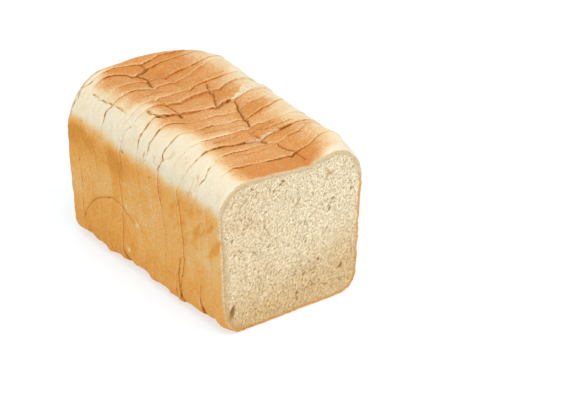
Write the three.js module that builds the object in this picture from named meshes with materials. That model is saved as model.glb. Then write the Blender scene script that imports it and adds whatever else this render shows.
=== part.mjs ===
import * as THREE from "three";

// A sliced tin loaf: soft white sandwich bread, baked in an open tin and cut into slices that stand
// together, with the rounded heel at the back. Millimetres, +Z up, X across the loaf, the open cut face
// towards -Y. The origin is at the middle of the flat base.

// Driving dimensions
const loafHeight = 109.4;
const topWidth = 114.4;
const baseWidth = 105.6;
const loafLength = 174.5;
const sliceGap = 0.3;
const cutEdge = 0.7;
const heelRound = 5.5;
const heelBow = 3.5;
const heelBulge = 1.4;

// The tin leaves the shoulders round. From the open face to the back the left one gets rounder and the
// right one squarer.
const leftShoulder = { front: 20, back: 29 };
const rightShoulder = { front: 28, back: 22 };

// The crust's wide, low relief: each form's height, with its place and half width across the loaf, or up
// its side for the belly.
const sag = { height: -2.9, x: 9, width: 20 };
const hump = { height: 1.5, x: -30, width: 14 };
const middleRise = 1.8;
const middleWaist = 1.2;
const heelCrown = { height: 3.6, x: -20, width: 40 };
const heelFall = { height: -4.8, x: 44, width: 18 };
const heelBelly = { height: 1.6, z: 60, width: 30 };

// One row a slice, from the open face to the back: where the cut behind it lies at the base, at the
// height of the waist and at the top, how far the slice's top stands above or under its neighbours', how
// far it sits off to the side, and how round its lower corners are. The tops lean back from the fourth
// slice on, which is a wedge: its front cut stands upright.
const waist = 45;
const slices = [
  { foot: 13, side: 12, top: 16.5, lift: 0, shift: 0, baseCorner: 12 },
  { foot: 27, side: 22.8, top: 33.5, lift: 0.5, shift: -0.4, baseCorner: 15 },
  { foot: 47.5, side: 43, top: 43, lift: -0.5, shift: 0.2, baseCorner: 15 },
  { foot: 53, side: 47, top: 56, lift: 0.9, shift: -0.8, baseCorner: 11 },
  { foot: 65.5, side: 64, top: 70, lift: 0.3, shift: 0.3, baseCorner: 13 },
  { foot: 77, side: 75, top: 82.5, lift: -0.1, shift: -0.2, baseCorner: 12 },
  { foot: 87, side: 86.5, top: 93.5, lift: -0.9, shift: 0.2, baseCorner: 13 },
  { foot: 98.5, side: 98, top: 109, lift: 0.9, shift: 0, baseCorner: 15 },
  { foot: 111, side: 110.5, top: 120.5, lift: -0.2, shift: 0.7, baseCorner: 15 },
  { foot: 122.5, side: 123, top: 134.5, lift: 0.4, shift: 0.4, baseCorner: 12 },
  { foot: 134, side: 134, top: 145, lift: -0.3, shift: 0.9, baseCorner: 11 },
  { foot: 146, side: 145, top: 158, lift: 0.4, shift: 0.6, baseCorner: 13 },
  { foot: 157, side: 156.3, top: 166, lift: 0, shift: 0.5, baseCorner: 13 },
  { foot: loafLength, side: loafLength, top: loafLength, lift: 0, shift: 0.6, baseCorner: 12 },
];

// The pieces of dough that the loaf was moulded from meet in seams along its top, given as points [x, y]
// with y counted from the open face.
const seams = [
  [[15, 0], [11, 30], [6, 36], [8, 51]],
  [[8, 56], [13, 67], [15, 77], [22, 88]],
  [[8, 92], [15, 101], [15, 108], [20, 118]],
  [[8, 121], [4, 155]],
  [[-12, 133], [-10, 143], [-14, 154]],
  [[-22, 89], [-20, 96], [-20, 108], [-22, 120]],
];
const seamDepth = 1.1;
const seamWidth = 2.6;

// How many facets each stretch of the outline has, from the middle of the base up one side to the middle
// of the top.
const facets = { base: 3, baseCorner: 5, side: 7, shoulder: 8, top: 15 };

const crust = new THREE.MeshStandardMaterial({ color: "#dca668", roughness: 0.85, metalness: 0 });
const heelCrust = new THREE.MeshStandardMaterial({ color: "#d79c55", roughness: 0.8, metalness: 0 });

const { clamp, lerp, smoothstep } = THREE.MathUtils;
const bell = (distance, width) => Math.exp(-((distance / width) ** 2));

// Half of a slice's outline, from the middle of its base up to the middle of its top: points with the
// direction in which the crust faces.
function halfOutline(baseCorner, shoulder) {
  const points = [];
  const add = (x, z, facing) => points.push({ x, z, nx: Math.cos(facing), nz: Math.sin(facing) });
  const down = -Math.PI / 2;
  const baseFlat = baseWidth / 2 - baseCorner;
  const topFlat = topWidth / 2 - shoulder;
  const sideTop = loafHeight - shoulder;
  for (let i = 0; i < facets.base; i++) {
    add((baseFlat * i) / facets.base, 0, down);
  }
  for (let i = 0; i <= facets.baseCorner; i++) {
    const angle = down * (1 - i / facets.baseCorner);
    add(baseFlat + baseCorner * Math.cos(angle), baseCorner * (1 + Math.sin(angle)), angle);
  }
  for (let i = 1; i < facets.side; i++) {
    const t = i / facets.side;
    add(lerp(baseWidth, topWidth, t) / 2, lerp(baseCorner, sideTop, t), 0);
  }
  for (let i = 0; i <= facets.shoulder; i++) {
    const angle = (-down * i) / facets.shoulder;
    add(topFlat + shoulder * Math.cos(angle), sideTop + shoulder * Math.sin(angle), angle);
  }
  for (let i = 1; i <= facets.top; i++) {
    add(topFlat * (1 - i / facets.top), loafHeight, -down);
  }
  return points;
}

// The whole outline of a slice, anticlockwise as seen from the open face.
function outline(slice) {
  const v = slice.top / loafLength;
  const right = halfOutline(slice.baseCorner, lerp(rightShoulder.front, rightShoulder.back, v));
  const left = halfOutline(slice.baseCorner, lerp(leftShoulder.front, leftShoulder.back, v));
  const mirrored = left.slice(1, -1).reverse().map(({ x, z, nx, nz }) => ({ x: -x, z, nx: -nx, nz }));
  return [...right, ...mirrored];
}

// Where the cut behind a slice lies at a height.
function cutAt({ foot, side, top }, z) {
  const low = lerp(foot, side, smoothstep(z, 0, waist));
  return lerp(low, top, smoothstep(z, waist, loafHeight));
}

function distanceToSeam(x, y, seam) {
  let nearest = Infinity;
  for (let i = 1; i < seam.length; i++) {
    const [x0, y0] = seam[i - 1];
    const [x1, y1] = seam[i];
    const along = ((x - x0) * (x1 - x0) + (y - y0) * (y1 - y0)) / ((x1 - x0) ** 2 + (y1 - y0) ** 2);
    const t = clamp(along, 0, 1);
    nearest = Math.min(nearest, Math.hypot(x - lerp(x0, x1, t), y - lerp(y0, y1, t)));
  }
  return nearest;
}

// How far the crust stands out of the plain outline at a point. The top rises towards the loaf's middle,
// with a hump along its left and a sag along its right, and dips at the dough's seams. The tall sides
// draw in a little. At the heel the top is crowned and falls away to the right, and the left side swells.
function crustRelief({ x, z, nx, nz }, y, lift) {
  const form = ({ height, x: middle, width }, at) => height * bell(at - middle, width);
  const middle = Math.sin((Math.PI * y) / loafLength);
  const heel = smoothstep(y, loafLength * 0.88, loafLength * 0.98);
  const upward = Math.max(0, nz);
  const rise = middleRise * middle + lift + heel * (form(heelCrown, x) + form(heelFall, x));
  const across = form(sag, x) + (1 + middle) * form(hump, x);
  const dip = -seamDepth * bell(Math.min(...seams.map((seam) => distanceToSeam(x, y, seam))), seamWidth);
  const belly = heel * heelBelly.height * bell(z - heelBelly.z, heelBelly.width);
  const hollow = nx ** 4 * smoothstep(z, 15, waist) * middleWaist * middle;
  return upward * rise + upward ** 2 * (across * (1 - heel) + dip) + Math.max(0, -nx) * belly - hollow;
}

// One ring of points round a slice: the outline at the distance along the loaf that place gives for each
// point, drawn in by inset, with the crust's relief.
function ring(slice, place, inset) {
  return outline(slice).map((point) => {
    const y = place(point);
    const out = crustRelief(point, y, slice.lift) - inset;
    const x = point.x + point.nx * out + slice.shift * smoothstep(point.z, 0, 40);
    return new THREE.Vector3(x, y - loafLength / 2, point.z + point.nz * out);
  });
}

// A closed solid through rings of points, each end closed to a point in its middle.
function solidThrough(rings, nearMiddle, farMiddle) {
  const count = rings[0].length;
  const positions = [...rings.flat(), nearMiddle, farMiddle].flatMap((p) => [p.x, p.y, p.z]);
  const near = rings.length * count;
  const far = near + 1;
  const index = [];
  for (let i = 0; i < count; i++) {
    const next = (i + 1) % count;
    for (let start = 0; start < near - count; start += count) {
      const a = start + i;
      const b = start + next;
      index.push(a, a + count, b, b, a + count, b + count);
    }
    index.push(near, i, next);
    index.push(far, near - count + next, near - count + i);
  }
  const geometry = new THREE.BufferGeometry();
  geometry.setAttribute("position", new THREE.Float32BufferAttribute(positions, 3));
  geometry.setIndex(index);
  geometry.computeVertexNormals();
  return geometry;
}

// The middle of a slice's end face.
function middleOf(end) {
  const middle = { x: 0, z: loafHeight / 2 };
  return new THREE.Vector3(middle.x, end(middle) - loafLength / 2, middle.z);
}

// A slice has its soft crust edges drawn in at both cuts.
function sliceGeometry(slice, near) {
  const far = ({ z }) => cutAt(slice, z) - sliceGap / 2;
  const rings = [
    ring(slice, near, cutEdge),
    ring(slice, (point) => near(point) + cutEdge, 0),
    ring(slice, (point) => (near(point) + far(point)) / 2, 0),
    ring(slice, (point) => far(point) - cutEdge, 0),
    ring(slice, far, cutEdge),
  ];
  return solidThrough(rings, middleOf(near), middleOf(far));
}

// The heel has a cut only on its near side. Its back edges are round, and its back is bowed.
function heelGeometry(slice, near) {
  const far = ({ x, z }) => cutAt(slice, z) - heelBow * (x / (topWidth / 2)) ** 2;
  const rings = [ring(slice, near, cutEdge), ring(slice, (point) => near(point) + cutEdge, 0)];
  const steps = 4;
  for (let i = 0; i <= steps; i++) {
    const angle = (Math.PI / 2) * (i / steps);
    const fromBack = heelRound - (heelRound - heelBulge) * Math.sin(angle);
    rings.push(ring(slice, (point) => far(point) - fromBack, heelRound * (1 - Math.cos(angle))));
  }
  const crown = new THREE.Vector3(0, heelBulge / 3, 0);
  rings.push(rings.at(-1).map((p) => p.clone().lerp(middleOf(far), 0.3).add(crown)));
  return solidThrough(rings, middleOf(near), middleOf(far));
}

const loaf = new THREE.Group();
slices.forEach((slice, i) => {
  const before = slices[i - 1];
  const near = ({ z }) => (before ? cutAt(before, z) + sliceGap / 2 : 0);
  const isHeel = i === slices.length - 1;
  const geometry = isHeel ? heelGeometry(slice, near) : sliceGeometry(slice, near);
  const mesh = new THREE.Mesh(geometry, isHeel ? heelCrust : crust);
  mesh.name = isHeel ? "heel" : `slice_${String(i + 1).padStart(2, "0")}`;
  loaf.add(mesh);
});

export default loaf;
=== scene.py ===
import math
from collections import namedtuple
from itertools import product

import bmesh
import bpy
import numpy as np
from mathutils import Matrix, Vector


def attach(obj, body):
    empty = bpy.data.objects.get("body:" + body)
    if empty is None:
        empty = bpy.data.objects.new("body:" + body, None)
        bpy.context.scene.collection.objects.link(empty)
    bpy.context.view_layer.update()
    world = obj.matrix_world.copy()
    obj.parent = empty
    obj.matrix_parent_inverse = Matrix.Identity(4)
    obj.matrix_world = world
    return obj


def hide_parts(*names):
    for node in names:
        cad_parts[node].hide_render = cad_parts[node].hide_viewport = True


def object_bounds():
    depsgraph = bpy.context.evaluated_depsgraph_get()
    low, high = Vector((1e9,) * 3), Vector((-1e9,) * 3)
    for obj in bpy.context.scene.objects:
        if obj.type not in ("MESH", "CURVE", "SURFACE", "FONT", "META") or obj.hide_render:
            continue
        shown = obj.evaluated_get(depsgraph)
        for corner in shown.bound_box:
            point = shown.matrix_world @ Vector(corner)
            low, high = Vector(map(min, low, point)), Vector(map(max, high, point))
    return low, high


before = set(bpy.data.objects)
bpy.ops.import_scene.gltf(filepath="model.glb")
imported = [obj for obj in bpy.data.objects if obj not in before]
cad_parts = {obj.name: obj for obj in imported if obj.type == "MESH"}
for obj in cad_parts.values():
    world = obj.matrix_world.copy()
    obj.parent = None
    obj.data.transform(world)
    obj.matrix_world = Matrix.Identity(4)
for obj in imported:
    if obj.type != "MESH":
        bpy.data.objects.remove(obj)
cad_box = [list(corner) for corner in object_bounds()]


# ---------------------------------------------------------------------------------------------------
# The slices behind the first one. Soft white dough, baked in an open tin: the tin gives flat golden
# sides and round shoulders, and the free top bakes brown. The cold loaf is sawn into slices that still
# stand together, so the cuts show as thin lines. All sizes here are in millimetres.
MM = 0.001
LOAF_HEIGHT = 109.4
TOP_WIDTH = 114.4
BASE_WIDTH = 105.6
LOAF_LENGTH = 174.5
FRONT = cad_box[0][1] / MM

# The shoulders' radii at the open face and at the back.
LEFT_SHOULDER = (20, 29)
RIGHT_SHOULDER = (28, 22)

# The wide forms of the crust: the height of each, with its middle and half width across the loaf, or
# up its side for the belly.
SAG = (-2.9, 9, 20)
HUMP = (1.5, -30, 14)
HEEL_CROWN = (3.6, -20, 40)
HEEL_FALL = (-4.8, 44, 18)
HEEL_BELLY = (1.6, 60, 30)
MIDDLE_RISE = 1.8
MIDDLE_WAIST = 1.2

# How far the right shoulder swells, as (distance from the open face, height).
RIGHT_SWELL = [(0, 1), (8, 2.6), (22, 4.8), (35, 3.6), (50, 3), (65, 2.3), (97, 2.5), (110, 1),
               (128, 2.4), (145, 2.4), (155, 0)]

# For each piece: how far its top stands above its neighbours', how far it sits off to the side, and
# how round its lower corners are. The last one is the heel. The crust goes over the first two softly,
# so only a share of them shows.
SLICES = [
    (0, 0, 14.5), (0.5, -0.4, 18.5), (-0.5, 0.2, 12.5), (0.9, -0.8, 9), (0.3, 0.3, 10), (-0.1, -0.2, 11),
    (-0.9, 0.2, 11), (0.9, 0, 15), (-0.2, 0.7, 18), (0.4, 0.4, 12), (-0.3, 0.9, 11), (0.4, 0.6, 12),
    (0, 0.5, 13), (0, 0.6, 12),
]
LIFT_SHARE = 0.35
SHIFT_SHARE = 0.4

# Where each cut runs over the crust: the distance round the crust from the middle of the top (the left
# side is negative), the distance from the open face, and how open the cut stands there, from 0 to 1.
CUTS = [
    [(-150, 13, 0.1), (-110, 12.5, 0), (-70, 13.5, 0), (-50, 15.5, 0), (-40, 16, 0.25), (-33, 17.5, 0.4),
     (-26, 16, 0.45), (0, 16.5, 0.5), (16, 16, 0.6), (21, 16.5, 0.45), (29, 18, 0.4), (41, 22.5, 0.2),
     (55, 22, 0.1), (75, 19, 0.1), (150, 13, 0.1)],
    [(-150, 27, 0.4), (-139, 26.5, 0.3), (-121, 24, 0.2), (-110, 22.5, 0.15), (-84, 24, 0.1),
     (-66, 25, 0.02), (-58, 26.5, 0.2), (-55, 27, 1), (-49, 26, 1), (-43, 29, 0.9), (-38, 30.5, 0.15),
     (-34, 32, 0.4), (-12, 34.5, 0.5), (8.5, 37, 0.5), (14.5, 32, 0.5), (24, 35, 0.5), (32, 34.5, 0.5),
     (44, 39, 0.35), (60, 37, 0.1), (80, 33, 0.1), (150, 27, 0.1)],
    [(-150, 49, 0.3), (-137, 46.5, 0.35), (-120, 43.5, 0.2), (-103, 43, 0.15), (-78, 45, 0.2),
     (-67, 47, 0.1), (-61, 44, 0.1), (-53, 42.5, 0.15), (-32, 42.5, 0.5), (-26, 43, 0.9), (8, 43, 1),
     (21, 44.5, 0.9), (35, 43, 0.5), (45, 42.5, 0.4), (60, 43, 0.2), (90, 44, 0.1), (150, 47.5, 0.1)],
    [(-151, 53.5, 0.8), (-145, 53, 0.9), (-133, 50.5, 0.6), (-120, 47, 0.35), (-109, 46.2, 0.25),
     (-96, 46.5, 0.25), (-86, 48, 0.3), (-69, 51.5, 0.2), (-56, 54, 0.2), (-47, 54.5, 0.4),
     (-26, 54, 0.5), (-13, 56, 0.5), (8.5, 58, 0.6), (17, 58.5, 0.6), (26, 55.5, 0.4), (40, 55, 0.2),
     (90, 54, 0.1), (150, 53, 0.1)],
    [(-149, 65.5, 0.2), (-138, 65, 0.2), (-106, 62.5, 0.1), (-89, 66.5, 0.4), (-80, 67.5, 0.45),
     (-67, 68.5, 0.3), (-61, 69, 0.6), (-55, 66.5, 1), (-52, 69.5, 0.9), (-45, 70, 1), (-36, 70.5, 0.9),
     (-28, 68, 0.5), (-20, 68, 0.5), (-11, 71, 0.6), (10, 70, 0.6), (17, 68, 0.5), (31, 70.5, 0.5),
     (37, 71, 0.4), (49, 76.5, 0.25), (65, 75, 0.15), (90, 71, 0.1), (150, 66, 0.1)],
    [(-142, 77.5, 0.2), (-121, 75, 0.12), (-91, 75, 0.2), (-71, 78, 0.05), (-61, 83, 0.05),
     (-57, 82.5, 0.5), (-51, 85, 0.9), (-43.5, 85.5, 1), (-35, 85.5, 0.3), (-24, 79, 0.15),
     (-12, 80.5, 0.25), (1.5, 82.5, 0.25), (10, 80.5, 0.3), (30, 81.5, 0.2), (45, 83, 0.15),
     (60, 84, 0.1), (90, 80, 0.1), (150, 77, 0.1)],
    [(-150, 87, 0.1), (-130, 86.5, 0.15), (-120, 91, 0.12), (-105, 89, 0.03), (-80, 90, 0.03),
     (-65, 92, 0.03), (-56, 93.5, 0.5), (-51, 96, 0.7), (-45, 96, 0.7), (-36, 97.5, 0.3), (-28, 93, 0.5),
     (0, 93, 0.4), (8, 93.5, 0.5), (18.5, 93, 0.8), (22.5, 92, 1), (34, 93, 0.4), (45, 94, 0.3),
     (60, 94, 0.1), (90, 91, 0.1), (150, 87, 0.1)],
    [(-150, 103, 0.15), (-135, 101.5, 0.3), (-126, 99.5, 0.35), (-116, 97.5, 0.4), (-106, 97.2, 0.5),
     (-98, 99.5, 0.5), (-86, 101.2, 0.55), (-77, 103.4, 0.5), (-71, 106, 0.4), (-66, 109.5, 0.5),
     (-58, 110, 0.45), (-53, 111.5, 0.8), (-48.5, 108, 0.55), (-35, 108, 0.3), (-10, 107, 0.3),
     (3, 111.5, 0.35), (17, 111, 0.4), (21.5, 107.5, 0.5), (29, 110, 0.4), (38, 110, 0.3),
     (60, 109, 0.2), (90, 104, 0.1), (150, 98.5, 0.1)],
    [(-150, 111, 0.08), (-110, 111, 0.03), (-80, 113, 0.03), (-60, 114.5, 0.05), (-45, 114.5, 0.3),
     (-36, 115, 0.4), (-25, 117, 0.5), (-7, 120, 0.5), (13, 122, 0.5), (23, 122, 0.5), (34, 120, 0.4),
     (60, 118, 0.1), (90, 115, 0.1), (150, 111, 0.1)],
    [(-150, 125, 0.1), (-137, 126.5, 0.12), (-120, 123.5, 0.15), (-107, 121.5, 0.1), (-90, 122, 0.03),
     (-77, 127, 0.03), (-65, 130, 0.05), (-59, 134, 0.4), (-56, 133.5, 0.9), (-49.5, 135.7, 1),
     (-44, 134, 0.8), (-39, 134.5, 0.5), (-25, 134, 0.7), (-15.5, 131.5, 0.7), (-8, 134.5, 0.5),
     (4.5, 136, 0.6), (12, 135, 0.5), (22, 137.5, 0.5), (37, 141, 0.3), (60, 139, 0.1),
     (90, 130, 0.1), (150, 122.5, 0.1)],
    [(-150, 134.5, 0.05), (-110, 135, 0.02), (-70, 140, 0.02), (-50, 143, 0.02), (-8, 144.5, 0.05),
     (9, 144.5, 0.5), (27, 144.5, 0.5), (36, 145.5, 0.4), (60, 146, 0.1), (90, 140, 0.1),
     (150, 134, 0.1)],
    [(-148, 151.5, 0.15), (-135, 147, 0.15), (-113, 145, 0.08), (-100, 144.5, 0.05), (-80, 150, 0.03),
     (-60, 157, 0.03), (-40, 159.5, 0.15), (-31, 160, 0.7), (-22, 158.5, 0.8), (-12, 154.2, 0.8),
     (-6, 155.5, 0.5), (0, 158.3, 0.5), (14, 160.4, 0.5), (29, 159, 0.4), (36, 159, 0.3),
     (60, 158, 0.1), (90, 152, 0.1), (150, 146, 0.1)],
    [(-148, 157, 0.9), (-137, 156, 0.5), (-100, 156.5, 0.4), (-89, 157, 0.3), (-72, 162.5, 0.2),
     (-60, 165, 0.15), (-53, 164.5, 0.4), (-46, 166.5, 0.6), (-40.5, 163.5, 1), (-37, 164, 0.5),
     (-23, 166, 0.4), (-8, 164, 0.7), (-2, 162.6, 0.9), (5, 164, 0.5), (15, 166, 0.4), (45, 166, 0.2),
     (60, 165, 0.1), (90, 160, 0.1), (150, 157, 0.1)],
]

# Seams where the moulded lumps of dough meet on top: wide shallow dips with a fine groove in them.
SEAMS = [
    [(15, 0), (11, 30), (6, 36), (8, 51)],
    [(8, 56), (13, 67), (15, 77), (22, 88)],
    [(8, 92), (15, 101), (15, 108), (20, 118)],
    [(8, 121), (4, 155)],
    [(-12, 133), (-10, 143), (-14, 154)],
    [(-22, 89), (-20, 96), (-20, 108), (-22, 120)],
]
SEAM_DEPTH = 1.1
SEAM_WIDTH = 2.6
SEAM_GROOVE = 0.45

# Cracks in the crust: (half width, depth, darkness of the painted shade in it) and the way they run, in
# distance round the crust and distance from the open face.
CRACKS = [
    ((0.52, 1.5, 1.1), [(22, 91), (21, 87), (17, 77.5), (15, 71), (12, 62.5), (11.5, 60)]),
    ((0.7, 0.8, 0.7), [(7, 53.5), (8.6, 45), (7.8, 40), (8.5, 37)]),
    ((0.7, 0.8, 0.72), [(13.3, 33), (13.3, 25), (16.2, 16), (16.6, 11), (17, 6.5)]),
    ((0.52, 1.3, 1.05), [(21, 120), (17.5, 115), (16, 106.5), (12.5, 99), (9.3, 94)]),
    ((0.58, 1.3, 1.1), [(-11.7, 154), (-8.4, 145), (-11.5, 136)]),
    ((0.8, 0.9, 0.9), [(-11.7, 154), (-0.6, 158.3), (-2, 162.6)]),
    ((0.55, 0.6, 0.8), [(-45.3, 155.5), (-45.3, 149.5), (-44.2, 138.5), (-43.4, 125), (-43.7, 118.5)]),
    ((0.8, 0.8, 0.85), [(-35.3, 107.5), (-35.4, 101.5), (-34.3, 97), (-32.4, 93), (-28.6, 93)]),
    ((0.8, 0.9, 1.0), [(-20.4, 105), (-20.4, 95.3), (-21.4, 89.5)]),
    ((0.7, 0.6, 0.8), [(-23.6, 117.6), (-21, 110.4), (-20.4, 103.5)]),
    ((0.7, 0.5, 0.65), [(-26, 47.7), (-11.5, 51.6), (0, 53), (19, 53.5), (30, 52)]),
    ((0.7, 0.5, 0.7), [(8, 53.4), (19.5, 49), (28, 48.6), (36, 47.2)]),
    ((0.62, 0.5, 0.58), [(-138.5, 156), (-131.5, 152.7), (-125, 147.6), (-117.5, 141), (-112.5, 133),
                        (-108.5, 122.7), (-108.2, 115), (-112, 109.7), (-117, 98)]),
    ((0.6, 0.4, 0.5), [(-65, 110.2), (-74, 109.4), (-90, 110)]),
    ((0.6, 0.5, 0.62), [(-27, 123), (-18, 126), (-9, 127), (-4, 124)]),
    ((0.6, 0.4, 0.6), [(-8, 146), (4, 147), (9, 144.7)]),
    ((0.6, 0.4, 0.55), [(-20, 30), (-6, 29), (6, 30.5)]),
    ((0.6, 0.4, 0.55), [(-24, 62), (-10, 63.5), (4, 64), (11, 62.5)]),
    ((0.6, 0.5, 0.6), [(24, 84), (30, 80), (36, 79)]),
    ((0.7, 0.5, 0.8), [(-65.5, 108), (-66.5, 106.5)]),
    ((0.6, 0.4, 0.6), [(-71, 76.5), (-72.4, 77)]),
    ((0.6, 0.4, 0.6), [(-66, 132), (-67, 131)]),
    ((0.7, 0.6, 0.75), [(-120, 47.5), (-132, 49), (-140, 48), (-152, 49.5)]),
]

# How far the front edge of each piece stands above the piece before it, on top.
LIPS = [0, 0.4, 0.3, 0.6, 0.3, 0.4, 0.3, 0.5, 1.9, 0.3, 0.5, 0.3, 0.5, 0.4]

# The front edges that stand so high that they show as a smooth round ridge: the piece, and how much
# rounder that edge is; the same number widens and strengthens the painted highlight along it. The
# ridges are on the left of the top.
HIGH_EDGES = {8: 0.8, 3: 0.3}
HIGH_EDGE_PLACE = (-32, 30)

# Where a cut tore the crust off the front edge of a piece: the piece, and how wide the bare crumb is at
# distances round the crust.
TORN_EDGES = [
    (3, [(-6, 0), (2, 0.2), (10, 0.3), (20, 0.2), (26, 0)]),
    (7, [(20.5, 0), (24, 1.9), (30.6, 4.5), (40, 7.5), (52, 5), (64, 0)]),
    (8, [(-62, 0), (-58, 0.9), (-53, 1.1), (-50, 0)]),
]

# Patches where the skin of the crust is rough, and pale blisters low on the left side: their middles and
# half sizes, round the crust and along the loaf.
ROUGH_PATCHES = [((-60, 109), (5, 4)), ((-64, 48), (5, 9)), ((-70, 66), (3, 4)), ((-46, 151), (4, 3)),
                 ((-134, 47), (16, 2.5)), ((50, 99), (12, 5))]
BLISTERS = [((-108, 107.5), (2.2, 1.6)), ((-117, 95.5), (2.6, 3.2)), ((-139, 104.5), (2.5, 2.5))]

# A round fold in the dough low on the left side, near the heel.
FOLD = ((-140, 126), (31, 29))

# How far the browned top reaches to the left and to the right, as (distance from the open face, distance
# round the crust), and a cream streak across it.
BROWN_LEFT = [(0, -31), (18, -32), (35, -29), (45, -28), (66, -31), (76, -35), (97, -34), (116, -31),
              (121, -38), (150, -38), (160, -35), (170, -18)]
BROWN_RIGHT = [(0, 13), (4, 20), (10, 28), (39, 33), (48, 28), (60, 29), (73, 32), (88, 31), (121, 29),
               (144, 30), (156, 30), (175, 29)]
CREAM_STREAK = [(-43, 54), (-28, 55), (-8, 57)]

# Layers of fine relief: how high each is, the size of its lumps, and its seed.
CRUST_LAYERS = [(0.24, 7, 21), (0.15, 2.6, 22), (0.1, 1.3, 23)]
PATCH_LAYERS = [(0.45, 2, 37), (0.25, 1.2, 38)]

# The mesh: points along each stretch of half an outline, rings round a rolled edge, and the distance
# between the rings in between. A blank tube is made first, in metres, with its ends inset.
FACETS = {"base": 70, "corner": 40, "side": 110, "shoulder": 40, "top": 70}
POINTS_ROUND = 2 * sum(FACETS.values())
EDGE_RINGS = 6
LEAST_RINGS = 6
RING_STEP = 0.7
BLANK_RADIUS = 0.05
BLANK_STEP = 0.001
END_INSETS = (0.001, 0.003, 0.009, 0.017)

# The heel's back: how round its edge is, and how far it bows.
HEEL_ROUND = 5.5
HEEL_BOW = 3.5
HEEL_BULGE = 1.4

# The marks that each point of the mesh carries for its finish, and what is known of a slice's rings.
MARKS = ("bake", "gold", "dark", "crumb", "pore", "dense_and_shaded")
Rings = namedtuple("Rings", "y inset from_near from_far near_open far_open")


def smooth(value, low, high):
    t = np.clip((value - low) / (high - low), 0, 1)
    return t * t * (3 - 2 * t)


def bell(distance, width):
    return np.exp(-((distance / width) ** 2))


def form(wide_form, at):
    height, middle, width = wide_form
    return height * bell(at - middle, width)


def follow(knots, at):
    """The value that a list of (place, value) gives at other places."""
    return np.interp(at, *np.array(knots).T)


def lumps(x, y, z, size, seed):
    """Smooth random values from -1 to 1 at places in millimetres, in lumps of about that size."""
    cells = 48
    lattice = np.random.default_rng(seed).uniform(-1, 1, (cells, cells, cells))
    place = np.stack(np.broadcast_arrays(x, y, z), -1) / size
    cell = np.floor(place).astype(int)
    share = smooth(place - cell, 0, 1)
    total = 0
    for corner in product((0, 1), repeat=3):
        weight = np.prod(np.where(corner, share, 1 - share), -1)
        i, j, k = np.moveaxis((cell + corner) % cells, -1, 0)
        total = total + weight * lattice[i, j, k]
    return total


def layered(layers, x, y, z):
    return sum(height * lumps(x, y, z, size, seed) for height, size, seed in layers)


def distance_to(line, a, y):
    """How far places on the unrolled crust are from a line of points."""
    nearest = np.full(np.broadcast(a, y).shape, np.inf)
    for (a0, y0), (a1, y1) in zip(line, line[1:]):
        along = ((a - a0) * (a1 - a0) + (y - y0) * (y1 - y0)) / ((a1 - a0) ** 2 + (y1 - y0) ** 2)
        t = np.clip(along, 0, 1)
        nearest = np.minimum(nearest, np.hypot(a - a0 - (a1 - a0) * t, y - y0 - (y1 - y0) * t))
    return nearest


def distance_to_seams(a, y):
    return np.min([distance_to(seam, a, y) for seam in SEAMS], 0)


def away_from(patch, a, y):
    """How far places are from the middle of a patch, counted in its half sizes."""
    (middle_a, middle_y), (half_a, half_y) = patch
    return np.hypot((a - middle_a) / half_a, (y - middle_y) / half_y)


def folded(a, y, outside, inside):
    return smooth(1 - away_from(FOLD, a, y), outside, inside) * smooth(-a, 0, 10)


def wavy(a, y):
    """Places on the unrolled crust, pushed about a little, so that what follows them isn't straight."""
    stray = 0.7
    return a + stray * lumps(a, y, 12, 3, 63), y + stray * lumps(a, y, 14, 3, 64)


def tin_ripples(a, y):
    """The slanting dimples that the tin pressed into the sides near the open face."""
    across = 0.61 * a + 0.79 * y
    along = 0.79 * a - 0.61 * y
    return lumps(along / 3.6, across, 4, 2.7, 26) * bell(abs(a) - 86, 19) * smooth(y, 72, 42)


def half_outline(corner, shoulder):
    """From the middle of the base up one side to the middle of the top: x, z and facing."""
    down = -math.pi / 2
    flat_base = BASE_WIDTH / 2 - corner
    flat_top = TOP_WIDTH / 2 - shoulder
    side_top = LOAF_HEIGHT - shoulder
    along = np.linspace(0, flat_base, FACETS["base"], endpoint=False)
    turn = np.linspace(down, 0, FACETS["corner"] + 1)
    up = np.linspace(0, 1, FACETS["side"] + 1)[1:-1]
    roll = np.linspace(0, -down, FACETS["shoulder"] + 1)
    across = np.linspace(flat_top, 0, FACETS["top"] + 1)[1:]
    side_x = (BASE_WIDTH + (TOP_WIDTH - BASE_WIDTH) * up) / 2
    side_z = corner + (side_top - corner) * up
    x = np.concatenate([along, flat_base + corner * np.cos(turn), side_x,
                        flat_top + shoulder * np.cos(roll), across])
    z = np.concatenate([0 * along, corner * (1 + np.sin(turn)), side_z,
                        side_top + shoulder * np.sin(roll), 0 * across + LOAF_HEIGHT])
    facing = np.concatenate([0 * along + down, turn, 0 * up, roll, 0 * across - down])
    return x, z, facing


def outline(number):
    """The whole outline of a slice, anticlockwise as seen from the open face, with the distance round
    the crust from the middle of the top."""
    share = (number + 0.8) / len(SLICES)
    corner = SLICES[number][2]
    halves = []
    for side, (at_front, at_back) in ((1, RIGHT_SHOULDER), (-1, LEFT_SHOULDER)):
        x, z, facing = half_outline(corner, at_front + (at_back - at_front) * share)
        steps = np.hypot(np.diff(x), np.diff(z))
        around = np.append(np.cumsum(steps[::-1])[::-1], 0)
        halves.append(np.array([side * x, z, side * np.cos(facing), np.sin(facing), side * around]))
    right, left = halves
    return np.concatenate([right, left[:, 1:-1][:, ::-1]], 1)


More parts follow.
